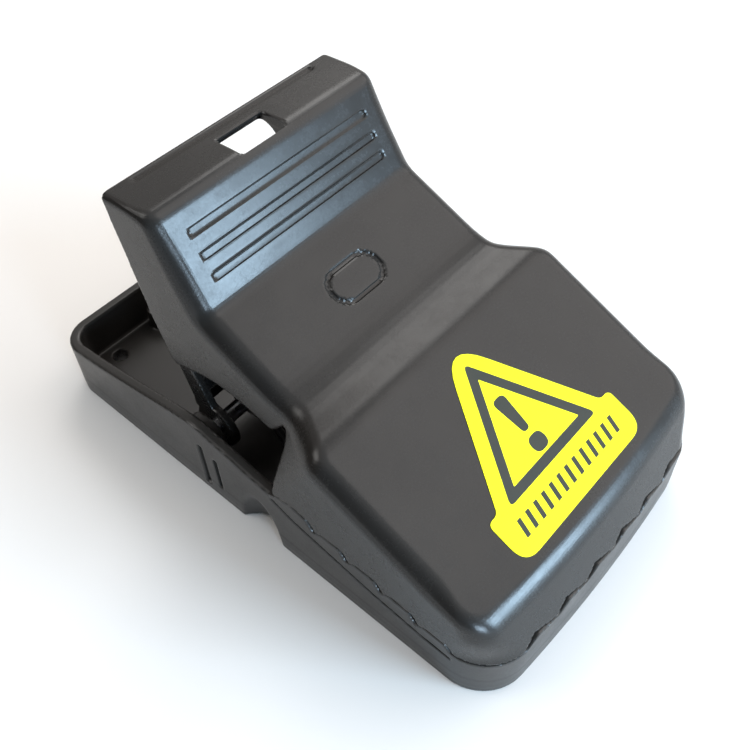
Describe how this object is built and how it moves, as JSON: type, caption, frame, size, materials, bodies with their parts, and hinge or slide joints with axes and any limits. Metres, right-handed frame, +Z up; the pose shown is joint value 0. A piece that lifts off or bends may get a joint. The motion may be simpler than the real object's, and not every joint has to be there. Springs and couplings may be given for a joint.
{
  "type": "snap mouse trap",
  "caption": "Jaw-type snap trap: a sprung upper jaw with a press-down handle closes on a toothed base tray when a pedal round the bait cup is touched.",
  "frame": {"origin": "centre of the footprint on the surface the trap stands on", "axes": "+Z up, -Y out of the mouth, +Y towards the rear tray, +X to the right when looking into the mouth"},
  "size_m": [0.0804, 0.14, 0.0754],
  "materials": {
    "base_plastic": "satin black moulded plastic",
    "jaw_plastic": "satin black moulded plastic",
    "trigger_plastic": "satin black moulded plastic",
    "steel": "plain drawn steel rod",
    "spring_steel": "zinc plated spring wire",
    "label_film": "printed vinyl film"
  },
  "bodies": {
    "base": {"base_tray": "base_plastic", "hinge_axle": "steel", "pedal_pin": "steel", "axle_keeper_left": "base_plastic", "axle_keeper_right": "base_plastic", "spring_coil_left": "spring_steel", "spring_coil_right": "spring_steel"},
    "jaw": {"upper_jaw": "jaw_plastic", "spring_arm_left": "spring_steel", "spring_arm_right": "spring_steel", "warning_label": "label_film"},
    "pedal": {"trigger_pedal": "trigger_plastic"},
    "cup": {"bait_cup": "trigger_plastic"}
  },
  "joints": [
    {"name": "jaw_hinge", "type": "hinge", "parent": "base", "child": "jaw", "pos_m": [0, 0.0175, 0.0165], "axis": [-1, 0, 0], "range_deg": [0, 48], "stiffness_Nm_per_rad": 0.8, "springref_deg": -68.75},
    {"name": "pedal_pivot", "type": "hinge", "parent": "base", "child": "pedal", "pos_m": [0, -0.001, 0.0076], "axis": [-1, 0, 0], "range_deg": [0, 10]},
    {"name": "cup_twist", "type": "hinge", "parent": "base", "child": "cup", "pos_m": [0, -0.033, 0], "axis": [0, 0, 1], "range_deg": [0, 90]}
  ]
}
